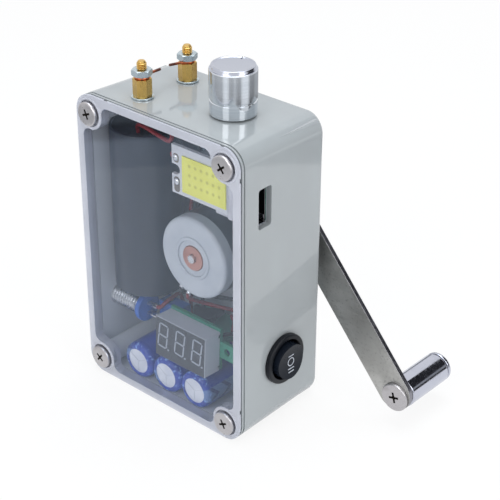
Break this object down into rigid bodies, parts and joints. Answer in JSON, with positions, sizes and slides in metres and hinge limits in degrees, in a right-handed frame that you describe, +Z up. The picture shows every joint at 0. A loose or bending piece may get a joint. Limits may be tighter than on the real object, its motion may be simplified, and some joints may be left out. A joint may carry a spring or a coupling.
{
  "type": "hand crank generator",
  "caption": "Pocket-size box with a clear lid over a crank-driven motor, a lamp, a charging socket, a meter and capacitors, with spark posts, a knob, a rocker switch and a push button.",
  "frame": {"origin": "centre of the case's flat underside", "axes": "+X across the case to the side with the socket and the rocker switch, +Y from the clear lid to the crank, +Z up to the knob and the spark posts"},
  "size_m": [0.1043, 0.0649, 0.113],
  "materials": {
    "housing_plastic": "gloss",
    "seal_rubber": "matte",
    "lid_clear": "clear moulded plastic",
    "nickel": "bright nickel plate",
    "zinc": "zinc plate",
    "brass": "turned",
    "copper": "tarnished copper wire",
    "knob_aluminium": "turned and brushed",
    "steel": "ground",
    "pressed_steel": "pressed sheet",
    "dark_resin": "satin",
    "red_insulation": "satin",
    "black_insulation": "satin",
    "lamp_aluminium": "white solder mask on aluminium",
    "phosphor": "silicone with phosphor",
    "tape": "foam tape",
    "pale_nylon": "satin",
    "motor_steel": "drawn can",
    "bronze": "sintered",
    "magnet": "fired",
    "core_iron": "stacked sheets and copper winding",
    "gear_nylon": "satin",
    "arm_steel": "brushed sheet",
    "chrome": "polished",
    "tinned_metal": "tin plate",
    "black_plastic": "gloss",
    "green_board": "solder mask",
    "meter_plastic": "satin",
    "meter_window": "satin",
    "digit_plastic": "unlit segment",
    "can_aluminium": "satin",
    "blue_sleeve": "shrunk sleeve",
    "blue_plastic": "gloss",
    "red_plastic": "gloss"
  },
  "bodies": {
    "case": {"housing": "housing_plastic", "seal": "seal_rubber", "lid": "lid_clear", "lid_screws": "nickel", "post_washers": "zinc", "post_standoffs": "brass", "post_studs": "brass", "post_nuts": "zinc", "spark_electrodes": "copper", "dimmer_body": "pressed_steel", "dimmer_nut": "zinc", "arc_module": "dark_resin", "arc_leads": "red_insulation", "lamp_board": "lamp_aluminium", "lamp_phosphor": "phosphor", "lamp_tape": "tape", "motor_end_cap": "pale_nylon", "motor_can": "motor_steel", "motor_bush": "bronze", "motor_magnets": "magnet", "motor_terminals": "tinned_metal", "gear_plate": "pressed_steel", "gear_plate_screws": "zinc", "idler_pin": "steel", "crank_bush": "brass", "socket_shell": "tinned_metal", "socket_tongue": "black_plastic", "socket_board": "green_board", "switch_bezel": "black_plastic", "switch_terminals": "tinned_metal", "meter_case": "meter_plastic", "meter_face": "meter_window", "meter_digits": "digit_plastic", "meter_board": "green_board", "capacitor_cans": "can_aluminium", "capacitor_sleeves": "blue_sleeve", "button_bush": "nickel", "button_body": "blue_plastic", "button_nut": "zinc", "button_lugs": "tinned_metal", "converter_board": "green_board", "converter_parts": "black_plastic", "trimmer": "blue_plastic", "red_wires": "red_insulation", "black_wires": "black_insulation"},
    "crank": {"crank_gear": "gear_nylon", "crank_shaft": "steel", "crank_arm": "arm_steel", "crank_screw": "nickel", "handle_screw": "nickel", "handle_spindle": "chrome"},
    "grip": {"handle_grip": "chrome"},
    "idler": {"idler_gear": "gear_nylon"},
    "rotor": {"motor_shaft": "steel", "motor_core": "core_iron", "motor_pinion": "brass"},
    "dimmer": {"knob": "knob_aluminium", "dimmer_shaft": "steel"},
    "rocker": {"switch_rocker": "black_plastic"},
    "button": {"button_cap": "red_plastic"}
  },
  "joints": [
    {"name": "crank_spin", "type": "hinge", "parent": "case", "child": "crank", "pos_m": [0.015, 0.019, 0.063], "axis": [0, 1, 0], "continuous": true},
    {"name": "idler_spin", "type": "hinge", "parent": "case", "child": "idler", "pos_m": [-0.00146, 0.0097, 0.0619], "axis": [0, 1, 0], "continuous": true},
    {"name": "motor_spin", "type": "hinge", "parent": "case", "child": "rotor", "pos_m": [0.0082, -0.0125, 0.0532], "axis": [0, 1, 0], "continuous": true},
    {"name": "grip_spin", "type": "hinge", "parent": "crank", "child": "grip", "pos_m": [0.06092, 0.0236, 0.01017], "axis": [0, 1, 0], "continuous": true},
    {"name": "knob_turn", "type": "hinge", "parent": "case", "child": "dimmer", "pos_m": [0.0132, 0.0002, 0.098], "axis": [0, 0, 1], "range_deg": [-150, 150]},
    {"name": "rocker_tilt", "type": "hinge", "parent": "case", "child": "rocker", "pos_m": [0.03159, 0.0009, 0.0222], "axis": [0, 1, 0], "range_deg": [-11, 11]},
    {"name": "button_press", "type": "slide", "parent": "case", "child": "button", "axis": [1, 0, 0], "range_m": [0, 0.0015], "stiffness_N_per_m": 300, "springref_m": -0.001}
  ],
  "couplings": [
    {"joint": "idler_spin", "follows": "crank_spin", "ratio": -4.5},
    {"joint": "motor_spin", "follows": "crank_spin", "ratio": 18.9}
  ]
}
